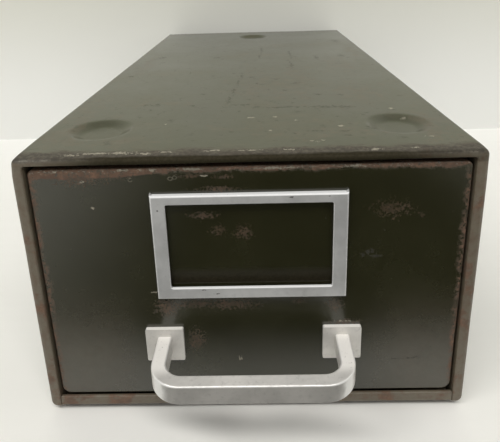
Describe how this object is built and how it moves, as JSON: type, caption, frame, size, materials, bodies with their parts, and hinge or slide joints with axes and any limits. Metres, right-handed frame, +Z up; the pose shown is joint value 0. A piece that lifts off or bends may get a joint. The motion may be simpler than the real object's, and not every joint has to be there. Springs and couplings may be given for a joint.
{
  "type": "card index drawer unit",
  "caption": "Low stackable steel cabinet with one full-width card index drawer, a label frame, a bar handle and a sliding card follower inside.",
  "frame": {"origin": "on the standing surface, under the centre of the bounding box", "axes": "+X right as the user faces the drawer, +Y from the drawer's front to the back (the drawer opens along -Y), +Z up"},
  "size_m": [0.212, 0.4436, 0.1405],
  "materials": {
    "case_paint": "worn olive grey enamel, rusted along the folded rims",
    "drawer_paint": "worn dark olive enamel",
    "frame_aluminium": "dull satin",
    "handle_aluminium": "dull cast, satin",
    "plated_steel": "dull zinc plated",
    "spring_steel": "blued",
    "buffer_rubber": "matte"
  },
  "bodies": {
    "case": {"case_wrapper": "case_paint", "base_panel": "case_paint", "back_panel": "case_paint", "left_runner": "case_paint", "right_runner": "case_paint", "left_kicker_rail": "case_paint", "right_kicker_rail": "case_paint", "stop_spring": "spring_steel", "stop_spring_rivets": "plated_steel", "rear_buffers": "buffer_rubber"},
    "drawer": {"drawer_front": "drawer_paint", "drawer_front_liner": "drawer_paint", "drawer_tray": "drawer_paint", "drawer_back": "drawer_paint", "label_frame": "frame_aluminium", "label_frame_clips": "spring_steel", "drawer_handle": "handle_aluminium", "handle_screws": "plated_steel", "handle_washers": "plated_steel", "follower_track": "plated_steel"},
    "follower": {"follower_carriage": "plated_steel", "follower_plate": "drawer_paint", "follower_rivets": "plated_steel", "lever_pin": "plated_steel", "lever_spring": "spring_steel"},
    "lever": {"follower_lever": "plated_steel"}
  },
  "joints": [
    {"name": "drawer_slide", "type": "slide", "parent": "case", "child": "drawer", "axis": [0, -1, 0], "range_m": [0, 0.335]},
    {"name": "follower_slide", "type": "slide", "parent": "drawer", "child": "follower", "axis": [0, -1, 0], "range_m": [-0.034, 0.299]},
    {"name": "lever_hinge", "type": "hinge", "parent": "follower", "child": "lever", "pos_m": [0, 0.15385, 0.038], "axis": [1, 0, 0], "range_deg": [0, 8], "stiffness_Nm_per_rad": 0.4, "springref_deg": -17.19, "deforming": ["lever_spring"]}
  ]
}
